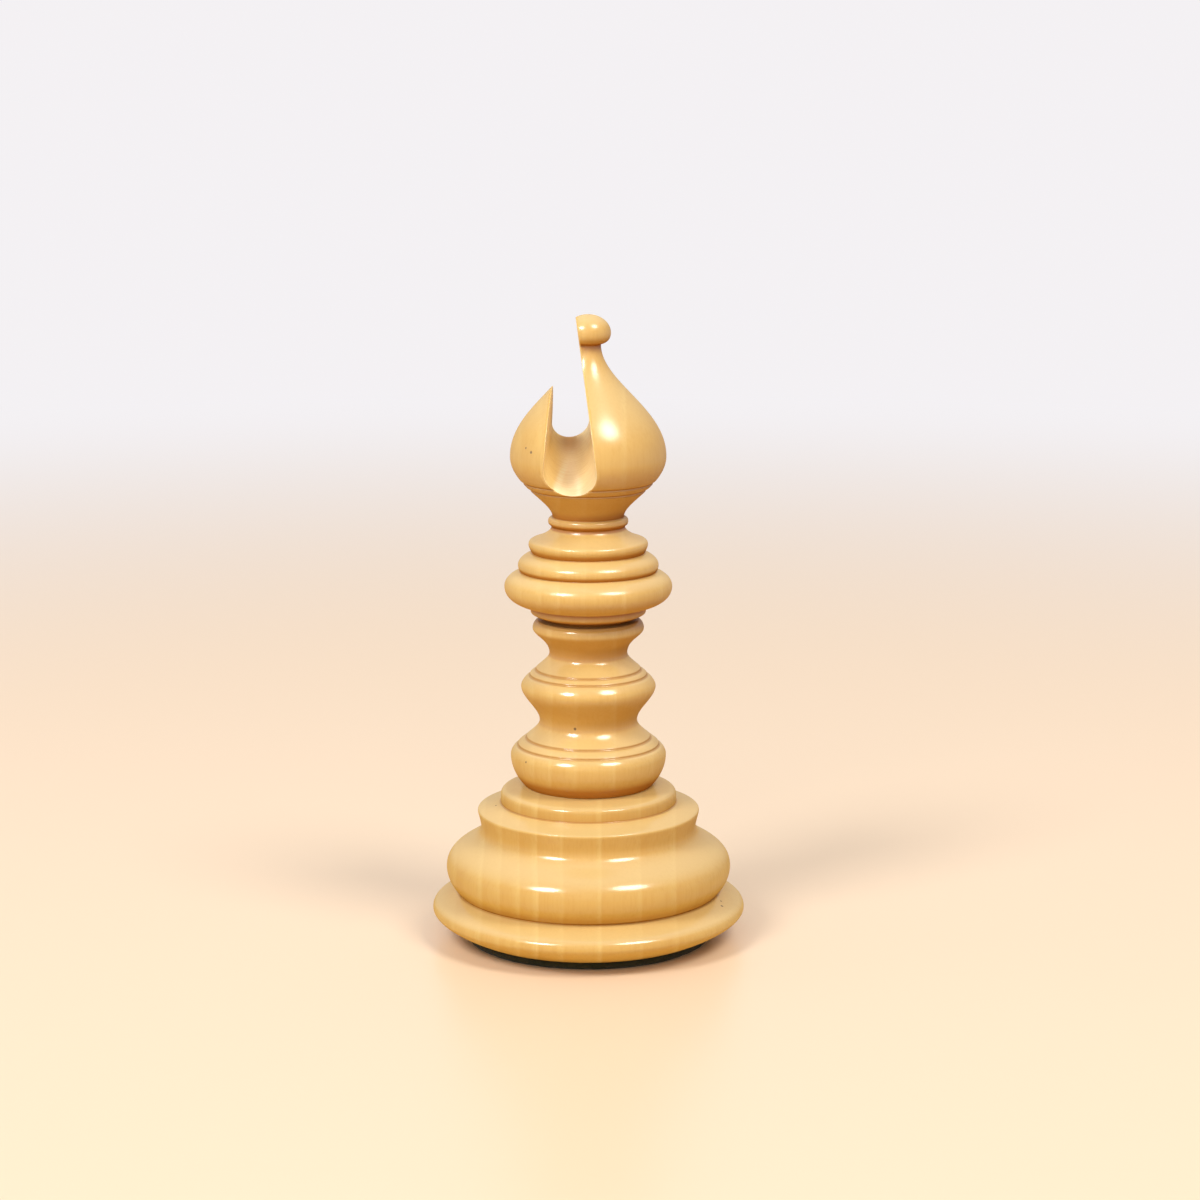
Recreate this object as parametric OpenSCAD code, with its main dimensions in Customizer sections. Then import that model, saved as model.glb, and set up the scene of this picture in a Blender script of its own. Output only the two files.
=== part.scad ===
// Turned chess bishop: a weighted base, a baluster stem and a slotted head, joined by glued tenons.
// The axis is Z, the origin is the middle of the underside of the cloth pad, and the slot opens towards -Y.

/* [Whole piece] */
// Height of the piece from the board to the top of the finial
height = 79.85; // [77:0.05:84]

/* [Felt pad] */
// Diameter of the cloth pad
felt_d = 31.8; // [24:0.1:34]
// Thickness of the cloth pad
felt_h = 1; // [0.4:0.1:2]

/* [Plinth] */
// Diameter of the wooden underside
foot_d = 31.8; // [30:0.1:36]
// Diameter of the plinth at its widest line
plinth_d = 40; // [38:0.1:46]
// Height of the widest line above the underside
plinth_widest_h = 2.8; // [1.5:0.1:4]
// How round the lower side of the plinth is
plinth_under_fullness = 0.4; // [0:0.05:1]
// Diameter of the edge where the sloping top begins
plinth_edge_d = 38.6; // [36:0.1:39.6]
// Height of that edge above the widest line
plinth_edge_h = 1.1; // [0.6:0.1:2]
// How round the edge is
plinth_edge_fullness = 0.7; // [0:0.05:1]
// Diameter of the crease between the plinth and the bell
plinth_top_d = 33.4; // [30:0.1:36]
// Rise of the sloping top
plinth_slope_h = 1.25; // [0.3:0.05:3]

/* [Bell] */
// Diameter of the bell at its widest line
bell_d = 36.4; // [34:0.1:40]
// Height of the widest line above the crease
bell_widest_h = 3.05; // [1.5:0.05:5]
// How round the bell is below its widest line
bell_under_fullness = 0.6; // [0:0.05:1]
// Height of the bell from its widest line to the narrowest line of the cove
bell_upper_h = 5.3; // [4:0.1:9]
// How full the bell is above its widest line
bell_fullness = 0.6; // [0:0.05:1]
// How hollow the cove is where the bell runs into it
cove_hollow = 0.42; // [0:0.01:1]
// Diameter of the cove at its narrowest line
cove_d = 27.5; // [24:0.1:28]

/* [Shoulder and ring] */
// Diameter of the shoulder
shoulder_d = 28.5; // [28:0.1:32]
// Height of the shoulder's edge above the narrowest line of the cove
cove_h = 2.2; // [1:0.1:4]
// How hollow the cove is below the shoulder
shoulder_hollow = 0.25; // [0:0.05:1]
// Rise of the shoulder's sloping top
shoulder_slope_h = 0.9; // [0.3:0.05:3]
// Diameter of the ring
ring_d = 22.4; // [20:0.1:26]
// Height of the ring's upright side
ring_side_h = 1; // [0.2:0.05:2]
// Diameter at which the ring's rounded edge meets its top
ring_top_d = 21.2; // [19:0.1:22]
// Height of the ring's rounded edge
ring_edge_h = 0.8; // [0.3:0.05:1.5]
// How round the ring's edge is
ring_edge_fullness = 0.75; // [0:0.05:1]
// Rise of the ring's sloping top
ring_slope_h = 0.5; // [0.2:0.1:2]

/* [Stem] */
// Diameter of the stem's foot, where it stands on the base
stem_foot_d = 16.2; // [14:0.1:18]
// Diameter of the lower bulb
lower_bulb_d = 19.8; // [18:0.1:24]
// Height of the lower bulb's widest line above its foot
lower_bulb_under_h = 3.9; // [2:0.1:6]
// How round the lower bulb is below its widest line
lower_bulb_under_fullness = 0.6; // [0:0.05:1]
// Height from the lower bulb's widest line to the waist
lower_bulb_upper_h = 4.5; // [3:0.1:8]
// How full the lower bulb is above its widest line
lower_bulb_fullness = 0.35; // [0:0.05:1]
// Diameter of the waist between the bulbs
waist_d = 12.4; // [11:0.1:15]
// How hollow the waist is
waist_hollow = 0.35; // [0:0.05:1]
// Height from the waist to the upper bulb's widest line
upper_bulb_under_h = 4.4; // [3:0.1:7]
// Diameter of the upper bulb
upper_bulb_d = 17.1; // [16:0.1:22]
// How full the upper bulb is
upper_bulb_fullness = 0.3; // [0:0.05:1]
// Height from the upper bulb's widest line to the neck
upper_bulb_upper_h = 4.2; // [3:0.1:8]
// Diameter of the stem's neck
neck_d = 9.8; // [9:0.1:13]
// How hollow the neck is below its narrowest line
neck_under_hollow = 0.2; // [0:0.01:1]
// How hollow the neck is above its narrowest line
neck_hollow = 0.55; // [0:0.05:1]
// Height from the neck to the widest line of the stem's top lip
stem_lip_under_h = 3.3; // [2:0.05:5]
// Diameter of the stem's top lip
stem_lip_d = 14.1; // [13:0.1:18]
// How full the lip is below its widest line
stem_lip_fullness = 0.23; // [0:0.01:1]
// Height of the lip above its widest line
stem_lip_h = 1.05; // [0.4:0.05:2]
// How round the lip is above its widest line
stem_lip_edge_fullness = 0.75; // [0:0.05:1]
// Diameter of the flat top of the lip
stem_top_d = 12.9; // [11:0.1:13]

/* [Collar] */
// Diameter of the dark groove between the stem and the collar
joint_groove_d = 10.4; // [9:0.1:11.5]
// Height of that groove
joint_groove_h = 0.5; // [0.3:0.1:1.5]
// Diameter of the drip edge above the groove
drip_d = 12.6; // [11.6:0.1:13.6]
// Diameter of the drip edge's upper line
drip_top_d = 14.6; // [13:0.1:15]
// Height of the drip edge's flared side
drip_side_h = 0.45; // [0.4:0.05:2]
// Height of the drip edge's upright part
drip_band_h = 0.85; // [0.2:0.05:2]
// Diameter of the lowest and largest collar ring
large_ring_d = 21.2; // [19:0.1:25]
// Height of its widest line above the drip edge
large_ring_under_h = 2.55; // [1.5:0.05:4]
// How round it is below
large_ring_under_fullness = 0.85; // [0:0.05:1]
// Height of the large ring above its widest line
large_ring_upper_h = 1.95; // [1:0.05:3]
// How round it is above
large_ring_fullness = 0.7; // [0:0.05:1]
// Diameter of the crease between the large and the middle ring
large_crease_d = 17.2; // [15.5:0.1:18.4]
// Diameter of the middle collar ring
middle_ring_d = 17.75; // [17:0.05:20]
// Height of its widest line above the crease
middle_ring_under_h = 0.75; // [0.3:0.05:1.5]
// Height of the middle ring above its widest line
middle_ring_upper_h = 1.6; // [0.8:0.05:3]
// How round the middle ring is
middle_ring_fullness = 0.65; // [0:0.05:1]
// Diameter of the crease between the middle and the small ring
middle_crease_d = 14.2; // [12.5:0.1:15]
// Diameter of the small collar ring
small_ring_d = 15.1; // [14:0.1:17]
// Height of its widest line above the crease
small_ring_under_h = 1.2; // [0.5:0.05:2]
// How round the small ring is
small_ring_fullness = 0.5; // [0:0.05:1]
// Height of the small ring's rounded edge
small_ring_edge_h = 0.45; // [0.2:0.05:1]
// Diameter at which the small ring's edge meets the flare
flare_d = 14.4; // [12:0.1:15]
// Height of the hollow flare above the small ring
flare_h = 1.8; // [1:0.05:3]
// How hollow the flare is
flare_hollow = 0.65; // [0:0.05:1]

/* [Head] */
// Diameter of the creases above and below the bead
bead_crease_d = 9.2; // [8:0.1:10]
// Diameter of the bead
bead_d = 10.1; // [9.4:0.1:12]
// Height of the bead
bead_h = 1.1; // [0.8:0.05:2.5]
// Diameter of the head's neck above the bead
head_neck_d = 9; // [8:0.1:11]
// How hollow the head's neck is
head_neck_hollow = 0.25; // [0:0.01:1]
// Height from the head's neck to its widest line
head_under_h = 7.65; // [5:0.05:11]
// Diameter of the head
head_d = 19.6; // [17:0.1:24]
// How full the head is below its widest line
head_under_fullness = 0.46; // [0:0.01:1]
// How full the head is above its widest line
head_fullness = 0.43; // [0:0.01:1]
// How hollow the head is below the finial
head_top_hollow = 0.34; // [0:0.01:1]
// Diameter of the neck below the finial
finial_neck_d = 3.2; // [2.6:0.1:5]
// Diameter of the finial
finial_d = 5.7; // [4:0.1:7]
// Height from the finial's neck to its widest line
finial_under_h = 1.4; // [1:0.1:3]
// How round the finial is below its widest line
finial_under_fullness = 0.9; // [0:0.05:1]
// Height of the finial's dome
finial_dome_h = 2.3; // [1:0.05:4]

/* [Mitre slot] */
// Distance of the slot's middle from the axis, towards -X
slot_offset = 2.25; // [1.5:0.05:4]
// Height of the centre of the slot's round floor above the head's widest line
slot_h = 1.2; // [-1:0.1:5]
// Width of the slot at the axis
slot_w = 5.6; // [3:0.1:7]
// Fall of the slot's floor towards the front
slot_fall = 14; // [0:1:25]
// Angle at which each wall opens towards the front
slot_taper = 3; // [0.5:0.5:6]
// Lean of the right wall
slot_right_lean = 7; // [1:0.5:12]
// Lean of the left wall
slot_left_lean = 4; // [1:0.5:12]
// Step by which each wall stands in from the side of the round floor
slot_wall_step = 0.1; // [0.05:0.05:0.3]

/* [Grooves] */
// Depth of the V grooves on the bulbs and the head
groove_depth = 0.2; // [0.1:0.05:0.5]
// Height of the lower groove above the lower bulb's widest line
lower_bulb_groove_h = 1.35; // [0.6:0.05:2]
// Height from one groove of the lower bulb to the next
lower_bulb_groove_gap = 0.9; // [0.6:0.05:1.5]
// Height of the lower groove above the upper bulb's widest line
upper_bulb_groove_h = 1.5; // [0.6:0.05:2]
// Height from one groove of the upper bulb to the next
upper_bulb_groove_gap = 0.7; // [0.6:0.05:1.5]
// Height of the head's lower groove above its neck
head_groove_h = 3.45; // [2:0.05:4]
// Height from one groove of the head to the next
head_groove_gap = 0.9; // [0.6:0.05:1.5]

/* [Joinery and weight] */
// Diameter of the tenon between the stem and the base
foot_tenon_d = 9; // [6:0.1:12]
// Length of that tenon
foot_tenon_l = 7; // [4:0.1:8]
// Diameter of the tenon between the stem and the head
head_tenon_d = 5; // [3:0.1:6]
// Length of that tenon
head_tenon_l = 7; // [4:0.1:9]
// Diameter of the iron weight
weight_d = 24; // [16:0.1:26]
// Height of the iron weight
weight_h = 7; // [4:0.1:8]
// Thickness of the plug below the weight
plug_h = 2; // [1:0.1:3]
// Glue gap round the tenons, the weight and the plug
glue_gap = 0.1; // [0.05:0.05:0.3]
// Room left at the end of each tenon
tenon_room = 0.4; // [0.2:0.1:1]

/* [Hidden] */

// Faces round the axis
$fn = 96;
// Longest straight piece of a curved outline, and the fewest pieces of a curved stretch
curve_piece = 0.7;
curve_pieces = 6;
// Overrun of a bore or a tenon past the face that it starts from
overrun = 1;

boxwood = "#E6B566";
iron = "#4A4A4C";
baize = "#1F2A1C";

// Levels of the base, upwards from the board
z_foot = felt_h;
z_plinth = z_foot + plinth_widest_h;
z_plinth_edge = z_plinth + plinth_edge_h;
z_plinth_top = z_plinth_edge + plinth_slope_h;
z_bell = z_plinth_top + bell_widest_h;
z_cove = z_bell + bell_upper_h;
z_shoulder = z_cove + cove_h;
z_ring = z_shoulder + shoulder_slope_h;
z_ring_edge = z_ring + ring_side_h;
z_ring_top = z_ring_edge + ring_edge_h;
z_stem = z_ring_top + ring_slope_h;

// Levels of the stem
z_lower_bulb = z_stem + lower_bulb_under_h;
z_waist = z_lower_bulb + lower_bulb_upper_h;
z_upper_bulb = z_waist + upper_bulb_under_h;
z_neck = z_upper_bulb + upper_bulb_upper_h;
z_stem_lip = z_neck + stem_lip_under_h;
z_stem_top = z_stem_lip + stem_lip_h;

// Levels of the collar
z_drip = z_stem_top + joint_groove_h;
z_drip_band = z_drip + drip_side_h;
z_drip_top = z_drip_band + drip_band_h;
z_large_ring = z_drip_top + large_ring_under_h;
z_large_crease = z_large_ring + large_ring_upper_h;
z_middle_ring = z_large_crease + middle_ring_under_h;
z_middle_crease = z_middle_ring + middle_ring_upper_h;
z_small_ring = z_middle_crease + small_ring_under_h;
z_flare = z_small_ring + small_ring_edge_h;
z_bead = z_flare + flare_h;

// Levels of the head
z_head_neck = z_bead + bead_h;
z_head = z_head_neck + head_under_h;
z_slot = z_head + slot_h;
z_finial = height - finial_dome_h;
z_finial_neck = z_finial - finial_under_h;

// Bored spaces
plug_top = z_foot + plug_h;
weight_top = plug_top + weight_h;
weight_bore_d = weight_d + 2 * glue_gap;
foot_socket_floor = z_stem - foot_tenon_l - tenon_room;
head_socket_top = z_stem_top + head_tenon_l + tenon_room;

// Reach of the slot cutter past the head on every side
slot_reach = head_d;
slot_r = slot_w / 2;
slot_spread = slot_reach * tan(slot_taper);

// Point of an outline, from a diameter and a level
function at(d, z) = [d / 2, z];

// Even shares of the way from a to b, up to 1, for a curve between them
function shares_between(a, b) =
    let (pieces = max(curve_pieces, ceil(norm(b - a) / curve_piece)))
    [for (i = [1:pieces]) i / pieces];

// Curved stretch of an outline from a to b. It stands upright at an end whose share is above 0, the more
// so the larger the share, and it runs straight into an end whose share is 0. Point a itself is left out.
function turn(a, b, a_share, b_share) =
    let (rise = b.y - a.y, p = [a.x, a.y + a_share * rise], q = [b.x, b.y - b_share * rise])
    [for (t = shares_between(a, b))
        let (s = 1 - t)
        s * s * s * a + 3 * s * s * t * p + 3 * s * t * t * q + t * t * t * b];

// Quarter ellipse from the widest point up to the axis. The widest point itself is left out.
function dome(wide, top) =
    [for (t = shares_between(wide, [0, top]))
        [wide.x * cos(90 * t), wide.y + (top - wide.y) * sin(90 * t)]];

// Radius of a stretch of outline at a level
function radius_at(outline, z) = lookup(z, [for (p = outline) [p.y, p.x]]);

// Points where a pair of grooves is cut in a stretch of outline
function groove_pair(outline, z, gap) =
    [for (level = [z, z + gap]) [radius_at(outline, level), level]];

base_outline = concat(
    [[0, z_foot], at(foot_d, z_foot)],
    turn(at(foot_d, z_foot), at(plinth_d, z_plinth), 0, plinth_under_fullness),
    turn(at(plinth_d, z_plinth), at(plinth_edge_d, z_plinth_edge), plinth_edge_fullness, 0),
    [at(plinth_top_d, z_plinth_top)],
    turn(at(plinth_top_d, z_plinth_top), at(bell_d, z_bell), 0, bell_under_fullness),
    turn(at(bell_d, z_bell), at(cove_d, z_cove), bell_fullness, cove_hollow),
    turn(at(cove_d, z_cove), at(shoulder_d, z_shoulder), shoulder_hollow, 0),
    [at(ring_d, z_ring), at(ring_d, z_ring_edge)],
    turn(at(ring_d, z_ring_edge), at(ring_top_d, z_ring_top), ring_edge_fullness, 0),
    [at(stem_foot_d, z_stem), [0, z_stem]]
);

lower_bulb_top =
    turn(at(lower_bulb_d, z_lower_bulb), at(waist_d, z_waist), lower_bulb_fullness, waist_hollow);
upper_bulb_top =
    turn(at(upper_bulb_d, z_upper_bulb), at(neck_d, z_neck), upper_bulb_fullness, neck_under_hollow);
stem_outline = concat(
    [[0, z_stem], at(stem_foot_d, z_stem)],
    turn(at(stem_foot_d, z_stem), at(lower_bulb_d, z_lower_bulb), 0, lower_bulb_under_fullness),
    lower_bulb_top,
    turn(at(waist_d, z_waist), at(upper_bulb_d, z_upper_bulb), waist_hollow, upper_bulb_fullness),
    upper_bulb_top,
    turn(at(neck_d, z_neck), at(stem_lip_d, z_stem_lip), neck_hollow, stem_lip_fullness),
    turn(at(stem_lip_d, z_stem_lip), at(stem_top_d, z_stem_top), stem_lip_edge_fullness, 0),
    [[0, z_stem_top]]
);

head_under = turn(at(head_neck_d, z_head_neck), at(head_d, z_head), head_neck_hollow, head_under_fullness);
head_outline = concat(
    [[0, z_stem_top], at(joint_groove_d, z_stem_top), at(joint_groove_d, z_drip), at(drip_d, z_drip)],
    [at(drip_top_d, z_drip_band), at(drip_top_d, z_drip_top)],
    turn(at(drip_top_d, z_drip_top), at(large_ring_d, z_large_ring), 0, large_ring_under_fullness),
    turn(at(large_ring_d, z_large_ring), at(large_crease_d, z_large_crease), large_ring_fullness, 0),
    turn(at(large_crease_d, z_large_crease), at(middle_ring_d, z_middle_ring), 0, middle_ring_fullness),
    turn(at(middle_ring_d, z_middle_ring), at(middle_crease_d, z_middle_crease), middle_ring_fullness, 0),
    turn(at(middle_crease_d, z_middle_crease), at(small_ring_d, z_small_ring), 0, small_ring_fullness),
    turn(at(small_ring_d, z_small_ring), at(flare_d, z_flare), small_ring_fullness, 0),
    turn(at(flare_d, z_flare), at(bead_crease_d, z_bead), 0, flare_hollow),
    turn(at(bead_crease_d, z_bead), at(bead_d, z_bead + bead_h / 2), 0, 1),
    turn(at(bead_d, z_bead + bead_h / 2), at(head_neck_d, z_head_neck), 1, 0),
    head_under,
    turn(at(head_d, z_head), at(finial_neck_d, z_finial_neck), head_fullness, head_top_hollow),
    turn(at(finial_neck_d, z_finial_neck), at(finial_d, z_finial), 0, finial_under_fullness),
    dome(at(finial_d, z_finial), height)
);

stem_grooves = concat(
    groove_pair(lower_bulb_top, z_lower_bulb + lower_bulb_groove_h, lower_bulb_groove_gap),
    groove_pair(upper_bulb_top, z_upper_bulb + upper_bulb_groove_h, upper_bulb_groove_gap)
);
head_grooves = groove_pair(head_under, z_head_neck + head_groove_h, head_groove_gap);

// Solid turned from an outline, with V grooves cut in its side
module turned(outline, grooves = []) {
    rotate_extrude()
        difference() {
            polygon(outline);
            for (point = grooves)
                translate(point)
                    polygon([[-groove_depth, 0], [0, groove_depth], [groove_depth, 0], [0, -groove_depth]]);
        }
}

// Upright round bore or peg between two levels
module upright(d, from, to) {
    translate([0, 0, from])
        cylinder(h = to - from, d = d);
}

// Block behind one wall of the slot, with that wall through the origin and the block towards +X
module slot_side(lean) {
    rotate([0, lean, -slot_taper])
        translate([0, -slot_reach, 0])
            cube([slot_reach, 2 * slot_reach, 2 * slot_reach]);
}

// Cutter of the mitre slot: a round floor that widens towards the front, and two leaning walls above it
module slot_cutter() {
    translate([-slot_offset, 0, z_slot])
        rotate([slot_fall, 0, 0]) {
            rotate([90, 0, 0])
                translate([0, 0, -slot_reach])
                    cylinder(h = 2 * slot_reach, r1 = slot_r - slot_spread, r2 = slot_r + slot_spread);
            intersection() {
                translate([slot_wall_step - slot_r, 0, 0])
                    slot_side(slot_left_lean);
                translate([slot_r - slot_wall_step, 0, 0])
                    mirror([1, 0, 0])
                        slot_side(slot_right_lean);
            }
        }
}

// Cloth disc glued under the foot
module felt_pad() {
    color(baize)
        upright(felt_d, 0, z_foot);
}

// Wooden disc that closes the bored foot
module weight_plug() {
    color(boxwood)
        upright(weight_d, z_foot, plug_top);
}

// Iron slug in the foot
module weight() {
    color(iron)
        upright(weight_d, plug_top, weight_top);
}

// Plinth, bell, shoulder and ring, bored for the weight and the stem
module base() {
    color(boxwood)
        difference() {
            turned(base_outline);
            upright(weight_bore_d, z_foot - overrun, weight_top);
            upright(foot_tenon_d + 2 * glue_gap, foot_socket_floor, z_stem + overrun);
        }
}

// Baluster with a tenon at each end
module stem() {
    color(boxwood) {
        turned(stem_outline, stem_grooves);
        upright(foot_tenon_d, z_stem - foot_tenon_l, z_stem + overrun);
        upright(head_tenon_d, z_stem_top - overrun, z_stem_top + head_tenon_l);
    }
}

// Collar, bead, mitre and finial, with the mitre slot
module head() {
    color(boxwood)
        difference() {
            turned(head_outline, head_grooves);
            upright(head_tenon_d + 2 * glue_gap, z_stem_top - overrun, head_socket_top);
            slot_cutter();
        }
}

felt_pad();
weight_plug();
weight();
base();
stem();
head();
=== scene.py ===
import math

import bpy
import numpy as np
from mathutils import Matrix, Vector
from mathutils.geometry import delaunay_2d_cdt
from mathutils.kdtree import KDTree


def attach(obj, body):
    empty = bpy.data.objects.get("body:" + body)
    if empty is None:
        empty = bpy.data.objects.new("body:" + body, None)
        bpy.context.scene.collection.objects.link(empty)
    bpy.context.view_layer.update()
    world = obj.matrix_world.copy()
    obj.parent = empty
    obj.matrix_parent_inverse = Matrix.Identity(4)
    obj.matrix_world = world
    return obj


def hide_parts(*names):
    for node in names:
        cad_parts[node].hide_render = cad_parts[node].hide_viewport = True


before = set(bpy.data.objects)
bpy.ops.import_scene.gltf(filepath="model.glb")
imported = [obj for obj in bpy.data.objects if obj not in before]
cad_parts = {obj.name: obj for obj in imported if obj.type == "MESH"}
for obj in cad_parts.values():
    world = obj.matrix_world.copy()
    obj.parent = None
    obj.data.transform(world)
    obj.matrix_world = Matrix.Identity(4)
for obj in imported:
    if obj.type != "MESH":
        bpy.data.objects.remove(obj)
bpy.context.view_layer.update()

# Places on the outline, as diameters and levels in millimetres, and the bores, as in the part's source
MM = 0.001
FOOT, PLINTH, PLINTH_EDGE, PLINTH_TOP = (31.8, 1.0), (40.0, 3.8), (38.6, 4.9), (33.4, 6.15)
BELL, COVE, SHOULDER = (36.4, 9.2), (27.5, 14.5), (28.5, 16.7)
RING, RING_EDGE, RING_TOP = (22.4, 17.6), (22.4, 18.6), (21.2, 19.4)
STEM_FOOT, LOWER_BULB, WAIST, UPPER_BULB = (16.2, 19.9), (19.8, 23.8), (12.4, 28.3), (17.1, 32.7)
NECK, STEM_LIP, STEM_TOP = (9.8, 36.9), (14.1, 40.2), (12.9, 41.25)
JOINT_GROOVE, DRIP, DRIP_BAND, DRIP_TOP = (10.4, 41.25), (12.6, 41.75), (14.6, 42.2), (14.6, 43.05)
LARGE_RING, LARGE_CREASE = (21.2, 45.6), (17.2, 47.55)
MIDDLE_RING, MIDDLE_CREASE = (17.75, 48.3), (14.2, 49.9)
SMALL_RING, FLARE = (15.1, 51.1), (14.4, 51.55)
BEAD_FOOT, BEAD, HEAD_NECK = (9.2, 53.35), (10.1, 53.9), (9.0, 54.45)
HEAD, FINIAL_NECK, FINIAL, TOP_Z = (19.6, 62.1), (3.2, 76.15), (5.7, 77.55), 79.85
WEIGHT_BORE, FOOT_SOCKET, HEAD_SOCKET = (24.2, 10.0), (9.2, 12.5), (5.2, 48.65)
FOOT_TENON, HEAD_TENON = (9.0, 12.9), (5.0, 48.25)
FELT_R, FELT_H = 15.9, 1.0

# Levels and depth of the V grooves
GROOVE_DEPTH = 0.2
BULB_GROOVES, HEAD_GROOVES = (25.15, 26.05, 34.2, 34.9), (57.9, 58.8)

# The mitre slot: its place, its lean on each side, and how far its edge is eased, also where it is softest
SLOT_OFFSET, SLOT_Z, SLOT_R = 2.25, 63.3, 2.8
SLOT_FALL, SLOT_TAPER = math.radians(14), math.radians(3)
SLOT_LEFT_LEAN, SLOT_RIGHT_LEAN = math.radians(4), math.radians(7)
SLOT_EDGE, SLOT_SOFT = 0.1, 0.25

# The soft part of that edge, low on the left at the front: the width and height over which it comes and goes
SOFT_WIDTH, SOFT_TOP, SOFT_FALL = 1.6, SLOT_Z + 0.5, 2.5

# Fineness of the turnings: columns, points on a curve, steps of the outline, and the most between rows
COLUMNS, CURVE_POINTS = 192, 81
ANGLES = np.arange(COLUMNS) * 2 * math.pi / COLUMNS
DENSE, LONGEST, TURN_PER_ROW = 0.02, 0.45, 0.11
SHARP_ANGLE = math.radians(48)

# Softness of corners and grooves
CORNER_SOFT, GROOVE_FLOOR_SOFT, GROOVE_LIP_SOFT = 0.05, 0.035, 0.09

# Marks for the materials: how quickly a groove darkens, and how far bends and recesses are felt
GROOVE_STAIN_AND_SHADE = 1.6
BEND_REACH, BEND_STEPS = 0.13, 30
RECESS_STEP, RECESS_NEAR, RECESS_REACH = 0.1, 0.25, 9.0

# The slot's mesh: reach along its section and from back to front, its steps, and the room beside its edge
SECTION_REACH, LENGTH_REACH = (-19, 30), (-12.5, 12.5)
TRACE_STEP, EDGE_STEP, CUT_STEP = 0.08, 0.11, 0.3
EDGE_ROWS, LACQUERED_ROWS, EDGE_MARKS = 6, 2, (0, 0.9, 0, 0)
HEAD_ROOM, CUT_ROOM, ROOM_COLUMNS = 0.13, 0.14, 4
SETTLE_PASSES, SETTLE_STEP, SLOPE_STEP, LEAST_SLOPE = 4, 0.01, 0.04, 0.04

# Level from which the head is fitted round the slot, and how much further its first fitted row is
FITTED_Z, FITTED_ROOM = HEAD_NECK[1] + 0.5, 0.3

# The cloth: how much its uneven cut takes off and from which share of the radius, the waves of that cut,
# as size, count, start and shift from row to row, and its rim as shares of the radius and the thickness
FELT_COLUMNS, FELT_TRIM, FELT_TRIM_FROM = 360, 0.08, 0.9
FELT_WAVES = ((0.04, 5, 1, 0), (0.03, 11, 0, 2), (0.025, 43, 0, 5))
FELT_RIM = (
    (0, 0), (0.5, 0), (0.97, 0), (0.988, 0.1), (0.996, 0.35),
    (0.997, 0.65), (0.99, 0.9), (0.975, 1), (0.5, 1), (0, 1),
)

# Materials of the head
LACQUERED, CUT = 0, 1


def way_along(points):
    """How far along a line each of its points lies."""
    return np.concatenate([[0], np.cumsum(np.linalg.norm(np.diff(points, axis=0), axis=1))])


def cut_groove(p, even, level, stain_and_shade):
    """Cuts a V groove in an outline, marks it to darken with stain and painted shade, and returns its corners
    with their softness.
    """
    near = np.argmin(np.abs(p[:, 1] - level))
    centre = p[near].copy()
    depth = GROOVE_DEPTH - np.abs(p[:, 1] - centre[1])
    cut = (depth > 0) & (np.abs(even - even[near]) < 4 * GROOVE_DEPTH)
    p[cut, 0] = np.minimum(p[cut, 0], centre[0] - depth[cut])
    stain_and_shade[cut] = np.minimum(1, GROOVE_STAIN_AND_SHADE * np.sqrt(depth[cut] / GROOVE_DEPTH))
    lips = [(even[cut][k], GROOVE_LIP_SOFT) for k in (0, -1)]
    return [(even[near], GROOVE_FLOOR_SOFT)] + lips


def ease_corners(p, even, corners):
    """Eases corners by smoothing, in as many passes as spread the softest one by its softness."""
    widest = max(soft for _, soft in corners)
    ease = np.zeros(len(p))
    for place, soft in corners:
        ease = np.maximum(ease, (soft / widest) ** 2 * (np.abs(even - place) < 4 * soft))
    for _ in range(int(2 * (widest / DENSE) ** 2)):
        p[1:-1] += 0.25 * ease[1:-1, None] * (p[2:] + p[:-2] - 2 * p[1:-1])


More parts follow.
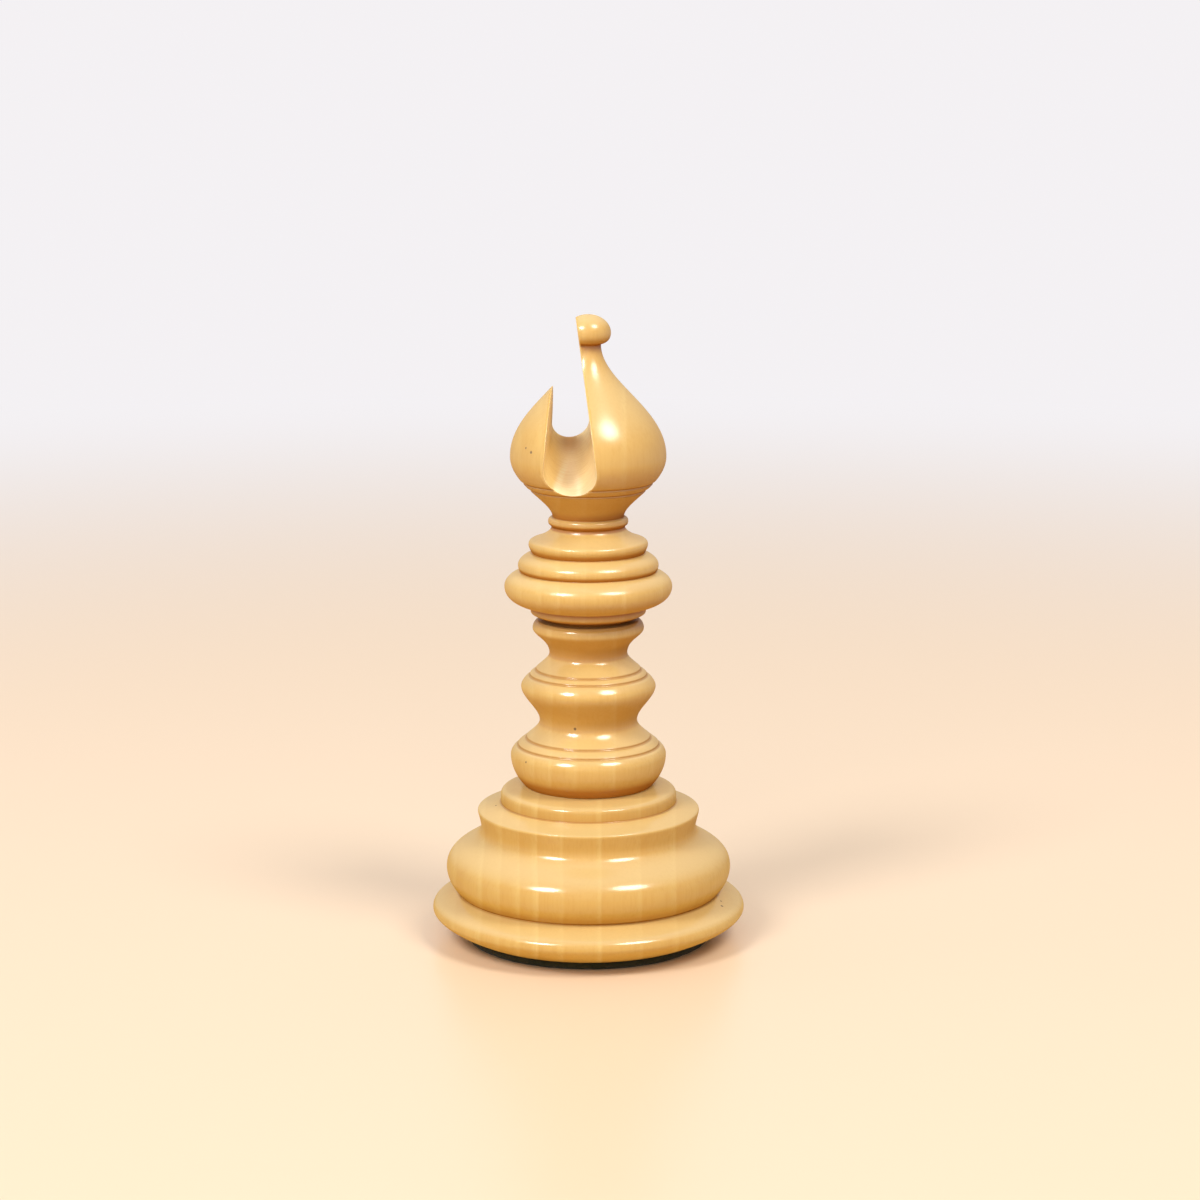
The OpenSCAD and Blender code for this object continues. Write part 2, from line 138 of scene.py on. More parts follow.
class Outline:
    """Outline of a turning, from the axis to the axis, with a softness for each of its corners."""

    def __init__(self, z):
        self.points = [np.array([0, z], float)]
        self.corners = []
        self.ends = []

    def end(self):
        """Marks the first or the last point of the stretch that shows on the whole piece."""
        self.ends.append(len(self.points) - 1)
        return self

    def line(self, place, soft=CORNER_SOFT):
        """Straight stretch to a place, with a softness for the corner that it starts from."""
        self.corners.append((len(self.points) - 1, soft))
        self.points.append(np.array([place[0] / 2, place[1]], float))
        return self

    def turn(self, place, start_share, end_share, soft=CORNER_SOFT):
        """Curved stretch to a place. It stands upright at an end whose share is above 0."""
        self.corners.append((len(self.points) - 1, soft))
        a, b = self.points[-1], np.array([place[0] / 2, place[1]], float)
        rise = b[1] - a[1]
        p, q = a + (0, start_share * rise), b - (0, end_share * rise)
        for t in np.linspace(0, 1, CURVE_POINTS)[1:]:
            s = 1 - t
            self.points.append(s**3 * a + 3 * s * s * t * p + 3 * s * t * t * q + t**3 * b)
        return self

    def dome(self, z):
        """Quarter ellipse up to the axis."""
        self.corners.append((len(self.points) - 1, CORNER_SOFT))
        r, low = self.points[-1]
        for t in np.linspace(0, math.pi / 2, CURVE_POINTS)[1:]:
            self.points.append(np.array([r * math.cos(t), low + (z - low) * math.sin(t)]))
        self.points[-1][0] = 0
        return self

    def rows(self, grooves=()):
        """Rows of the mesh: radius, level, way along the outline, and marks for the materials."""
        points = np.array(self.points)
        s = way_along(points)
        even = np.linspace(0, s[-1], int(math.ceil(s[-1] / DENSE)) + 1)
        p = np.stack([np.interp(even, s, points[:, k]) for k in (0, 1)], 1)
        corners = [(s[i], soft) for i, soft in self.corners]
        stain_and_shade = np.zeros(len(p))
        for level in grooves:
            corners += cut_groove(p, even, level, stain_and_shade)
        ease_corners(p, even, corners)

        # How the eased outline bends, and the rows that its length and its bends need
        length, step = way_along(p), np.diff(p, axis=0)
        angle = np.unwrap(np.arctan2(step[:, 1], step[:, 0]))
        bend = np.concatenate([[0], np.diff(angle), [0]])
        per_step = np.diff(length) / LONGEST + np.abs(bend[1:]) / TURN_PER_ROW
        need = np.concatenate([[0], np.cumsum(per_step)])
        at = np.interp(np.linspace(0, need[-1], int(math.ceil(need[-1])) + 1), need, length)

        # Marks for crease, edge, recess and tilt, of which the recess comes later
        span = np.arange(-BEND_STEPS, BEND_STEPS + 1) * DENSE
        bell = np.exp(-0.5 * (span / BEND_REACH) ** 2)
        rounding = np.where(stain_and_shade > 0, -stain_and_shade, np.convolve(bend, bell, "same"))
        r, z, turn = (np.interp(at, length, v) for v in (p[:, 0], p[:, 1], rounding))
        tilt = np.interp(at, length[1:], -np.cos(angle))
        marks = np.stack([np.clip(-turn, 0, 1), np.clip(turn, 0, 1), 0 * turn, tilt], 1)
        r[0] = r[-1] = 0
        dense = {"s": length, "r": p[:, 0], "z": p[:, 1]}
        shown = [s[i] / s[-1] * length[-1] for i in self.ends]
        return {"r": r, "z": z, "s": at, "marks": marks, "dense": dense, "shown": shown}


def base_rows():
    """The base, from its bore round the plinth, bell, shoulder and ring to its socket."""
    o = Outline(WEIGHT_BORE[1])
    o.line(WEIGHT_BORE).line((WEIGHT_BORE[0], FOOT[1])).line(FOOT, 0.03).end()
    o.turn(PLINTH, 0, 0.4, 0.12).turn(PLINTH_EDGE, 0.7, 0).line(PLINTH_TOP, 0.16)
    o.turn(BELL, 0, 0.6).turn(COVE, 0.6, 0.42).turn(SHOULDER, 0.25, 0)
    o.line(RING, 0.26).line(RING_EDGE).turn(RING_TOP, 0.75, 0).line(STEM_FOOT, 0.14).end()
    o.line((FOOT_SOCKET[0], STEM_FOOT[1]), 0.03).line(FOOT_SOCKET).line((0, FOOT_SOCKET[1]))
    return o.rows()


def stem_rows():
    """The stem, from its lower tenon past both bulbs to its upper tenon."""
    o = Outline(FOOT_TENON[1])
    o.line(FOOT_TENON).line((FOOT_TENON[0], STEM_FOOT[1]), 0.08).line(STEM_FOOT, 0.03).end()
    o.turn(LOWER_BULB, 0, 0.6, 0.08).turn(WAIST, 0.35, 0.35).turn(UPPER_BULB, 0.35, 0.3)
    o.turn(NECK, 0.3, 0.2).turn(STEM_LIP, 0.55, 0.23, 0.3).turn(STEM_TOP, 0.75, 0)
    o.line(JOINT_GROOVE, 0.1).end().line((HEAD_TENON[0], STEM_TOP[1]))
    o.line(HEAD_TENON, 0.03).line((0, HEAD_TENON[1]), 0.08)
    return o.rows(BULB_GROOVES)


def head_rows():
    """The head, from its socket past the collar, bead and onion to the finial."""
    o = Outline(HEAD_SOCKET[1])
    o.line(HEAD_SOCKET).line((HEAD_SOCKET[0], STEM_TOP[1])).line(JOINT_GROOVE, 0.03).end()
    o.line((JOINT_GROOVE[0], DRIP[1]), 0.03).line(DRIP, 0.03).line(DRIP_BAND, 0.1).line(DRIP_TOP, 0.16)
    o.turn(LARGE_RING, 0, 0.85).turn(LARGE_CREASE, 0.7, 0)
    o.turn(MIDDLE_RING, 0, 0.65).turn(MIDDLE_CREASE, 0.65, 0)
    o.turn(SMALL_RING, 0, 0.5).turn(FLARE, 0.5, 0).turn(BEAD_FOOT, 0, 0.65, 0.2)
    o.turn(BEAD, 0, 1, 0.1).turn(HEAD_NECK, 1, 0)
    o.turn(HEAD, 0.25, 0.46).turn(FINIAL_NECK, 0.43, 0.34)
    o.turn(FINIAL, 0, 0.9, 0.08).dome(TOP_Z).end()
    return o.rows(HEAD_GROOVES)


def age(turnings):
    """Marks how far each row is closed in by the rest of the piece, where dirt and old polish gather and
    where the materials paint shade.
    """
    joined, owner = [], []
    for k, rows in enumerate(turnings):
        d, (start, stop) = rows["dense"], rows["shown"]
        at = np.arange(start, stop, RECESS_STEP)
        joined.append(np.stack([np.interp(at, d["s"], d["r"]), np.interp(at, d["s"], d["z"])], 1))
        owner += [(k, s) for s in at]
    p = np.concatenate(joined)
    along = np.gradient(p, axis=0)
    along /= np.maximum(np.linalg.norm(along, axis=1), 1e-9)[:, None]
    way = p[None] - p[:, None]
    far = np.linalg.norm(way, axis=2)
    on = (way * along[:, None]).sum(2)
    up = way[..., 0] * along[:, None, 1] - way[..., 1] * along[:, None, 0]
    counted = (far > RECESS_NEAR) & (far < RECESS_REACH)
    angle = np.arctan2(up, np.abs(on)) * counted * (1 - far / RECESS_REACH)
    closed = (np.max(angle * (on > 0), axis=1) + np.max(angle * (on < 0), axis=1)) / math.pi
    closed = np.convolve(np.clip(closed, 0, 1), np.ones(5) / 5, "same")
    owner = np.array(owner)
    for k, rows in enumerate(turnings):
        own = owner[:, 0] == k
        rows["marks"][:, 2] = np.interp(rows["s"], owner[own, 1], closed[own], left=0, right=0)


class Build:
    """Vertices in millimetres, faces and marks of a mesh in the making."""

    def __init__(self):
        self.verts, self.marks, self.faces, self.slots = [], [], [], []

    def vert(self, place, marks=(0, 0, 0, 0)):
        """Adds a vertex with its marks for crease, edge, recess and tilt, and returns its number."""
        self.verts.append(tuple(place))
        self.marks.append(tuple(marks))
        return len(self.verts) - 1

    def face(self, corners, slot=0):
        """Adds a face, unless a corner repeats."""
        if len(set(corners)) == len(corners):
            self.faces.append(tuple(corners))
            self.slots.append(slot)

    def object(self, name, materials):
        """The finished piece, smooth but for its sharp corners."""
        mesh = bpy.data.meshes.new(name)
        mesh.from_pydata([Vector(v) * MM for v in self.verts], [], self.faces)
        for m in materials:
            mesh.materials.append(m)
        mesh.polygons.foreach_set("material_index", self.slots)
        mesh.polygons.foreach_set("use_smooth", [True] * len(self.faces))
        for k, mark in enumerate(("crease", "edge", "recess", "tilt")):
            values = [m[k] for m in self.marks]
            mesh.attributes.new(mark, "FLOAT", "POINT").data.foreach_set("value", values)
        mesh.validate()
        mesh.set_sharp_from_angle(angle=SHARP_ANGLE)
        piece = bpy.data.objects.new(name, mesh)
        bpy.context.scene.collection.objects.link(piece)
        return piece


def turned(rows, last=None):
    """Build of the rows as rings of vertices, joined by faces up to the last of them, and those rings."""
    build, rings = Build(), []
    count = len(rows["r"]) if last is None else last + 1
    for j in range(count):
        r, z, marks = rows["r"][j], rows["z"][j], rows["marks"][j]
        if r < 1e-9:
            rings.append([build.vert((0, 0, z), marks)] * COLUMNS)
        else:
            rings.append([build.vert((r * math.cos(a), r * math.sin(a), z), marks) for a in ANGLES])
    for low, high in zip(rings, rings[1:]):
        join(build, low, high)
    return build, rings


def join(build, low, high, slot=0):
    """Faces between two rings of vertices with the same count. A ring at a pole repeats one vertex."""
    for c in range(len(low)):
        d = (c + 1) % len(low)
        corners = []
        for v in (low[c], low[d], high[d], high[c]):
            if v not in corners:
                corners.append(v)
        build.face(corners, slot)


def slot_section(w):
    """Point of the slot's section: down the left wall, round the floor and up the right wall."""
    turn_all = math.pi + SLOT_LEFT_LEAN + SLOT_RIGHT_LEAN
    floor = SLOT_R * turn_all
    a = math.pi - SLOT_LEFT_LEAN + np.clip(w, 0, floor) / SLOT_R
    x, z = SLOT_R * np.cos(a), SLOT_R * np.sin(a)
    left, right = np.minimum(w, 0), np.maximum(w - floor, 0)
    x = x - left * math.sin(SLOT_LEFT_LEAN) - right * math.sin(SLOT_RIGHT_LEAN)
    z = z - left * math.cos(SLOT_LEFT_LEAN) + right * math.cos(SLOT_RIGHT_LEAN)
    return x, z


def slot_point(w, y):
    """Point of the slot's surface, from the way along its section and the way from back to front."""
    x, z = slot_section(w)
    k = 1 - y * math.tan(SLOT_TAPER) / SLOT_R
    x, z = x * k, z * k
    c, s = math.cos(SLOT_FALL), math.sin(SLOT_FALL)
    return np.stack([x - SLOT_OFFSET, y * c - z * s, y * s + z * c + SLOT_Z], -1)


def slot_depth(p):
    """How far a point is outside the slot, below 0 in it."""
    c, s = math.cos(SLOT_FALL), math.sin(SLOT_FALL)
    x, v, u = p[..., 0] + SLOT_OFFSET, p[..., 1], p[..., 2] - SLOT_Z
    y, z = v * c + u * s, u * c - v * s
    k = 1 - y * math.tan(SLOT_TAPER) / SLOT_R
    x, z = x / k, z / k
    left = z * math.sin(SLOT_LEFT_LEAN) - x * math.cos(SLOT_LEFT_LEAN) - SLOT_R
    right = z * math.sin(SLOT_RIGHT_LEAN) + x * math.cos(SLOT_RIGHT_LEAN) - SLOT_R
    a = np.arctan2(z, x)
    floor = (a < SLOT_RIGHT_LEAN) | (a > math.pi - SLOT_LEFT_LEAN)
    far = np.where(floor, np.hypot(x, z) - SLOT_R, -1e9)
    return np.maximum(np.maximum(left, right), far) * k


def trace(values, us, vs):
    """Longest closed line along which a grid of values is 0, as points between the grid's own."""
    inside = values < 0
    links = {}
    mixed = inside[:-1, :-1].astype(int) + inside[1:, :-1] + inside[:-1, 1:] + inside[1:, 1:]
    for i, j in np.argwhere((mixed > 0) & (mixed < 4)):
        sides = [(i, j, 0), (i + 1, j, 1), (i, j + 1, 0), (i, j, 1)]
        crossed = [(a, b, w) for a, b, w in sides if inside[a, b] != inside[a + (w == 0), b + (w == 1)]]
        for a, b in zip(crossed[::2], crossed[1::2]):
            links.setdefault(a, []).append(b)
            links.setdefault(b, []).append(a)
    loops, left = [], set(links)
    while left:
        loop = [min(left)]
        left.discard(loop[0])
        while True:
            onward = [e for e in links[loop[-1]] if e in left]
            if not onward:
                break
            loop.append(onward[0])
            left.discard(onward[0])
        loops.append(loop)
    points = []
    for i, j, way in max(loops, key=len):
        a, b = values[i, j], values[i + (way == 0), j + (way == 1)]
        t = a / (a - b)
        u, v = us[i] + (us[1] - us[0]) * t * (way == 0), vs[j] + (vs[1] - vs[0]) * t * (way == 1)
        points.append((u, v))
    return np.array(points)


def resample(points, places, spacing):
    """Points spread evenly along a closed line, measured on the places in space that they stand for."""
    s = way_along(np.vstack([places, places[:1]]))
    at = np.linspace(0, s[-1], int(round(s[-1] / spacing)) + 1)[:-1]
    ring = np.vstack([points, points[:1]])
    return np.stack([np.interp(at, s, ring[:, k]) for k in (0, 1)], 1)


def in_polygon(points, ring):
    """Which points lie inside a closed line in the plane."""
    x, y = points[:, 0][:, None], points[:, 1][:, None]
    a, b = ring, np.roll(ring, -1, axis=0)
    over = (a[:, 1] > y) != (b[:, 1] > y)
    rise = np.where(b[:, 1] == a[:, 1], 1e-12, b[:, 1] - a[:, 1])
    cross = (b[:, 0] - a[:, 0]) * (y - a[:, 1]) / rise + a[:, 0]
    return (np.sum(over & (x < cross), axis=1) % 2).astype(bool)


def fill(ring, others, ring_ids, other_ids, build, inside, flip, slot):
    """Triangles between a closed line and other points of the plane, on one side of that line."""
    points = [Vector(p) for p in ring] + [Vector(p) for p in others]
    ids = list(ring_ids) + list(other_ids)
    n = len(ring)
    edges = [(i, (i + 1) % n) for i in range(n)]
    flat, _, faces, origin, _, _ = delaunay_2d_cdt(points, edges, [], 0, 1e-10, True)
    corner = [o[0] if o else -1 for o in origin]
    flat = np.array([tuple(v) for v in flat])
    faces = np.array([f for f in faces if len(f) == 3])
    own = np.array([[corner[v] for v in f] for f in faces])
    only_ring = np.all((own >= 0) & (own < n), axis=1)
    within = np.zeros(len(faces), bool)
    within[only_ring] = in_polygon(flat[faces[only_ring]].mean(1), np.array(ring))
    keep = (~only_ring | within) if inside else ~within
    a, b, c = (flat[faces[:, k]] for k in range(3))
    area = (b[:, 0] - a[:, 0]) * (c[:, 1] - a[:, 1]) - (b[:, 1] - a[:, 1]) * (c[:, 0] - a[:, 0])
    for f, k, turn in zip(own, keep, area):
        if k and abs(turn) > 1e-14 and min(f) >= 0:
            order = f if (turn > 0) != flip else f[::-1]
            build.face([ids[v] for v in order], slot)


def line_tree(places):
    """Search tree over the points of a line."""
    tree = KDTree(len(places))
    for i, p in enumerate(places):
        tree.insert(p, i)
    tree.balance()
    return tree


def slope(value, u, v, h):
    """How steeply a value of two measures rises along each, from points a step to either side."""
    return np.stack([value(u + h, v) - value(u - h, v), value(u, v + h) - value(u, v - h)], 1) / (2 * h)


class HeadSide:
    """The head's surface above its neck, by the angle round the axis and the way along the outline."""

    def __init__(self, dense):
        up = int(np.argmax(dense["z"] > FITTED_Z))
        self.s, self.r, self.z = dense["s"][up:], dense["r"][up:], dense["z"][up:]
        mean_r = np.maximum(0.5 * (self.r[1:] + self.r[:-1]), DENSE)
        self.flat = np.concatenate([[0], np.cumsum(np.diff(self.s) / mean_r)])

    def outside(self, p):
        """How far a point is outside the surface, below 0 in it."""
        return np.hypot(p[..., 0], p[..., 1]) - np.interp(p[..., 2], self.z, self.r, right=-1)

    def place(self, theta, s):
        """Point of the surface in space."""
        r, z = np.interp(s, self.s, self.r), np.interp(s, self.s, self.z)
        return np.stack([r * np.cos(theta), r * np.sin(theta), z], -1)

    def laid_flat(self, theta, s):
        """Point of the surface in a plane on which its angles stay true."""
        return np.stack([theta, np.interp(s, self.s, self.flat)], -1)


def edge_ease(edge):
    """How far the slot's edge is eased, most of all low on the left at the front."""
    leftward = np.clip((-SLOT_OFFSET - edge[:, 0]) / SOFT_WIDTH, 0, 1) * (edge[:, 1] < 0)
    above_groove = np.clip(edge[:, 2] - HEAD_GROOVES[1] - 2 * GROOVE_DEPTH, 0, 1)
    low_left = leftward * above_groove * np.clip((SOFT_TOP - edge[:, 2]) / SOFT_FALL, 0, 1)
    return (SLOT_EDGE + SLOT_SOFT * low_left**2 * (3 - 2 * low_left))[:, None]


def slot_edge(side):
    """Line in space where the slot leaves the head, and the borders of its eased edge on slot and head."""
    ws, ys = np.arange(*SECTION_REACH, TRACE_STEP), np.arange(*LENGTH_REACH, TRACE_STEP)
    grid = np.stack(np.meshgrid(ws, ys, indexing="ij"), -1)

    def outside(w, y):
        return side.outside(slot_point(w, y))

    line = trace(outside(grid[..., 0], grid[..., 1]), ws, ys)
    line = resample(line, slot_point(*line.T), EDGE_STEP)
    for _ in range(SETTLE_PASSES):
        d = slope(outside, *line.T, SETTLE_STEP)
        line = line - d * (outside(*line.T) / np.maximum((d * d).sum(1), LEAST_SLOPE))[:, None]
    edge = slot_point(*line.T)
    ease = edge_ease(edge)
    inward = -slope(outside, *line.T, SLOPE_STEP)
    slot_line = line + ease * inward / np.linalg.norm(inward, axis=1)[:, None]
    theta = np.arctan2(edge[:, 1], edge[:, 0]) % (2 * math.pi)
    s = np.interp(edge[:, 2], side.z, side.s)
    r = np.interp(s, side.s, side.r)

    def depth(around, along):
        return slot_depth(side.place(theta + around / r, s + along))

    away = slope(depth, 0, 0, SLOPE_STEP)
    shift = ease * (away / np.linalg.norm(away, axis=1)[:, None])
    head_line = np.stack([theta + shift[:, 0] / r, s + shift[:, 1]], 1)
    return edge, slot_line, head_line


def fitted_head(rows, side, head_line):
    """Build of the head with room round a line on it, that line laid flat, and the points beside the room.

    Rows below the slot are plain rings, and above them only the columns away from the slot are joined.
    """
    first = int(np.argmax(rows["s"] > side.s[0] + FITTED_ROOM))
    build, rings = turned(rows, last=first)
    upper = range(first, len(rows["r"]) - 1)
    low = int(np.floor(head_line[:, 0].min() / (2 * math.pi) * COLUMNS)) - ROOM_COLUMNS
    high = int(np.ceil(head_line[:, 0].max() / (2 * math.pi) * COLUMNS)) + ROOM_COLUMNS
    ring = side.laid_flat(*head_line.T)
    near = line_tree(side.place(*head_line.T))
    ids, others, other_ids = {}, [], []
    for j in upper:
        flat = side.laid_flat(ANGLES, np.full(COLUMNS, rows["s"][j]))
        cut = in_polygon(flat, ring)
        for c in range(COLUMNS):
            place = side.place(ANGLES[c], rows["s"][j])
            if j > first and low < c < high and (cut[c] or near.find(place)[2] < HEAD_ROOM):
                continue
            ids[j, c] = rings[-1][c] if j == first else build.vert(place, rows["marks"][j])
            if low <= c <= high:
                others.append(flat[c])
                other_ids.append(ids[j, c])
    for j in upper[:-1]:
        for c in list(range(high, COLUMNS)) + list(range(0, low)):
            d = (c + 1) % COLUMNS
            build.face((ids[j, c], ids[j, d], ids[j + 1, d], ids[j + 1, c]))
    top = build.vert((0, 0, TOP_Z), (0, 0, 0, 1))
    for c in range(COLUMNS):
        build.face((ids[upper[-1], c], ids[upper[-1], (c + 1) % COLUMNS], top))
    return build, ring, others, other_ids


def eased_edge(build, a, edge, b):
    """Faces that ease the slot's edge, from border a to border b, and the vertices of both borders."""
    strips = []
    for t in np.linspace(0, 1, EDGE_ROWS):
        places = (1 - t) ** 2 * a + 2 * t * (1 - t) * edge + t * t * b
        strips.append([build.vert(p, EDGE_MARKS) for p in places])
    across = np.cross(a[1] - a[0], b[0] - a[0])
    outward = edge[0] - 0.5 * (a[0] + b[0])
    turned_over = float(np.dot(across, outward)) < 0
    for k, (one, two) in enumerate(zip(strips, strips[1:])):
        pair = (two, one) if turned_over else (one, two)
        join(build, *pair, slot=LACQUERED if k < LACQUERED_ROWS else CUT)
    return strips[0], strips[-1]


def slot_surface(build, slot_line, line_ids):
    """The slot's own surface, inside the border of its eased edge."""
    near = line_tree(slot_point(*slot_line.T))
    ws, ys = np.arange(*SECTION_REACH, CUT_STEP), np.arange(*LENGTH_REACH, CUT_STEP)
    grid = np.stack(np.meshgrid(ws, ys, indexing="ij"), -1).reshape(-1, 2)
    inner, inner_ids = [], []
    for spot in grid[in_polygon(grid, slot_line)]:
        place = slot_point(*spot)
        if near.find(place)[2] > CUT_ROOM:
            inner.append(spot)
            inner_ids.append(build.vert(place))
    # Three points of the floor tell which way it faces
    w, h = SLOT_R * math.pi / 2, SLOPE_STEP
    mid = slot_point(np.array([w, w + h, w]), np.array([0, 0, h]))
    normal = np.cross(mid[1] - mid[0], mid[2] - mid[0])
    flip = float(np.dot(normal, np.array([-SLOT_OFFSET, 0, SLOT_Z]) - mid[0])) < 0
    fill(slot_line, inner, line_ids, inner_ids, build, inside=True, flip=flip, slot=CUT)


def slotted_head(rows, materials):
    """The turned head with the mitre slot cut in it and the slot's edges eased."""
    side = HeadSide(rows["dense"])
    edge, slot_line, head_line = slot_edge(side)
    build, ring, others, other_ids = fitted_head(rows, side, head_line)
    outer, inner = eased_edge(build, side.place(*head_line.T), edge, slot_point(*slot_line.T))
    fill(ring, others, outer, other_ids, build, inside=False, flip=False, slot=LACQUERED)
    slot_surface(build, slot_line, inner)
    return build.object("head_turned", materials)


# Camera at the photograph's place, looking down by its fall in degrees
CAMERA_PLACE, CAMERA_FALL, CAMERA_LENS = (0.00148, -0.3667, 0.115), 11, 88.65
camera = bpy.data.objects.new("camera", bpy.data.cameras.new("camera"))
camera.location = CAMERA_PLACE
camera.rotation_euler = (math.radians(90 - CAMERA_FALL), 0, 0)
camera.data.sensor_width = 36
camera.data.lens = CAMERA_LENS
camera.data.clip_start, camera.data.clip_end = 0.01, 50
bpy.context.scene.collection.objects.link(camera)
bpy.context.scene.camera = camera


class Shading:
    """Nodes of a material or of the world. Each helper returns an output that other nodes can take."""

    def __init__(self, owner):
        owner.use_nodes = True
        self.owner, self.tree = owner, owner.node_tree
        self.shader = self.tree.nodes.get("Principled BSDF")

    def node(self, kind, inputs=(), **settings):
        """New node with values or links for its inputs."""
        made = self.tree.nodes.new(kind)
        for name, value in settings.items():
            setattr(made, name, value)
        for name, value in dict(inputs).items():
            self.feed(made.inputs[name], value)
        return made

    def feed(self, socket, value):
        if isinstance(value, bpy.types.NodeSocket):
            self.tree.links.new(value, socket)
        else:
            socket.default_value = value

    def set(self, **values):
        """Values or links for the inputs of the main shader."""
        for name, value in values.items():
            self.feed(self.shader.inputs[name.replace("_", " ")], value)

    def math(self, operation, *values):
        made = self.node("ShaderNodeMath", dict(enumerate(values)), operation=operation)
        return made.outputs[0]

    def vector(self, operation, *values):
        made = self.node("ShaderNodeVectorMath", dict(enumerate(values)), operation=operation)
        return made.outputs["Value" if operation in ("DISTANCE", "LENGTH") else "Vector"]

    def place(self, turn=(0, 0, 0), scale=(1, 1, 1), shift=(0, 0, 0)):
        """The point of the surface in millimetres, turned, stretched and moved."""
        where = self.node("ShaderNodeTexCoord").outputs["Object"]
        inputs = {"Vector": where, "Rotation": turn, "Scale": [1000 * s for s in scale], "Location": shift}
        return self.node("ShaderNodeMapping", inputs).outputs[0]

    def noise(self, where, scale=1.0, detail=2.0, roughness=0.5):
        inputs = {"Vector": where, "Scale": scale, "Detail": detail, "Roughness": roughness}
        return self.node("ShaderNodeTexNoise", inputs).outputs["Fac"]

    def ease(self, value, low, high, to_low=0.0, to_high=1.0):
        """Soft step from one level to another, as a value goes from low to high."""
        inputs = {"Value": value, "From Min": low, "From Max": high, "To Min": to_low, "To Max": to_high}
        return self.node("ShaderNodeMapRange", inputs, interpolation_type="SMOOTHSTEP").outputs["Result"]

    def mix(self, share, one, two):
        """Colour between two colours."""
        made = self.node("ShaderNodeMix", data_type="RGBA")
        for place, value in ((0, share), (6, one), (7, two)):
            self.feed(made.inputs[place], (*value, 1) if isinstance(value, tuple) else value)
        return made.outputs[2]

    def mark(self, name):
        """Mark that the mesh carries at its vertices."""
        return self.node("ShaderNodeAttribute", attribute_name=name).outputs["Fac"]

    def bump(self, height, strength, distance):
        inputs = {"Height": height, "Strength": strength, "Distance": distance}
        return self.node("ShaderNodeBump", inputs).outputs["Normal"]


# Colours of boxwood: the wood, the pale of faded tops with painted sheen, the browns and dark of patina, dirt
# and painted shade, and the bare cut of the slot with its painted highlight
PALE, HONEY, DEEP = (0.80, 0.57, 0.21), (0.705, 0.435, 0.115), (0.64, 0.365, 0.08)
FADED_AND_SHEEN, PATINA_AND_SHADE, CREASE_STAIN_AND_SHADE = (0.72, 0.555, 0.29), (0.45, 0.18, 0.028), (0.37, 0.135, 0.01)
DIRT_AND_SHADOW, SPECK = (0.09, 0.035, 0.01), (0.05, 0.02, 0.008)
CUT_GOLD, CUT_PALE, CUT_HIGHLIGHT = (0.96, 0.72, 0.30), (0.97, 0.79, 0.46), (0.99, 0.93, 0.68)

# Growth rings, as upright planes across X with a paleness each, and where a ring starts, peaks and ends
RINGS = (
    (-17.0, 0.5), (-13.4, 0.75), (-10.9, 0.55), (-8.5, 0.7), (-6.3, 0.95),
    (-3.1, 0.5), (1.9, 0.95), (6.8, 0.5), (11.2, 0.6),
)
RING_RISE, RING_CREST, RING_END, RING_FOOT = -0.9, -0.12, 0.1, 0.2
RING_SPAN, RING_MEAN = 22.0, 0.22

# Dark specks, every other one smaller
PIN_MARKS = {
    "base": ((-17.6, -8.0, 5.2), (16.87, -5.1, 5.7), (16.94, -6.45, 5.47), (-11.8, -1.85, 17.4)),
    "stem": ((-1.66, -6.0, 28.4), (-7.8, -5.95, 24.1), (-9.0, 3.1, 25.0)),
    "head": ((-7.0, -6.65, 63.5), (-7.65, -5.7, 63.9), (6.0, 7.2, 60.4)),
}


def grain(shade, shift, tone, contrast):
    """Colour of the wood, its fibres and its mottling. The tone tints a whole piece."""
    pale, honey, deep = (tuple(np.multiply(colour, tone).tolist()) for colour in (PALE, HONEY, DEEP))
    where = shade.place(shift=(-shift, 0, 0))
    sway = shade.noise(shade.place(scale=(0.05, 0.05, 0.02)), 1.0, 2.0)
    across = shade.node("ShaderNodeSeparateXYZ", {"Vector": where}).outputs["X"]
    across = shade.math("ADD", across, shade.math("MULTIPLY", shade.math("SUBTRACT", sway, 0.5), 2.0))
    span = {"Value": across, "From Min": -RING_SPAN, "From Max": RING_SPAN}
    share = shade.node("ShaderNodeMapRange", span).outputs["Result"]
    ramp = shade.node("ShaderNodeValToRGB", {"Fac": share})
    ramp.color_ramp.elements[0].color = (0.3, 0.3, 0.3, 1)
    ramp.color_ramp.elements[1].color = (0.7, 0.7, 0.7, 1)
    for ring, peak in RINGS:
        for side, level in ((RING_RISE, RING_FOOT), (RING_CREST, peak), (RING_END, 0.0)):
            stop = ramp.color_ramp.elements.new((ring + side + RING_SPAN) / (2 * RING_SPAN))
            stop.color = (level, level, level, 1)
    rings = shade.math("MULTIPLY_ADD", ramp.outputs["Color"], contrast, RING_MEAN * (1 - contrast))
    fibres = shade.noise(shade.place(scale=(3.2, 3.2, 0.07), shift=(shift, 0, 0)), 1.0, 4.0, 0.62)
    mottle = shade.noise(shade.place(scale=(0.16, 0.16, 0.07), shift=(shift, 3, 0)), 1.0, 3.0, 0.55)
    colour = shade.mix(rings, honey, pale)
    colour = shade.mix(shade.ease(mottle, 0.40, 0.74, 0, 0.5), colour, deep)
    colour = shade.mix(shade.ease(fibres, 0.42, 0.68, 0, 0.34), colour, deep)
    return colour, fibres, mottle


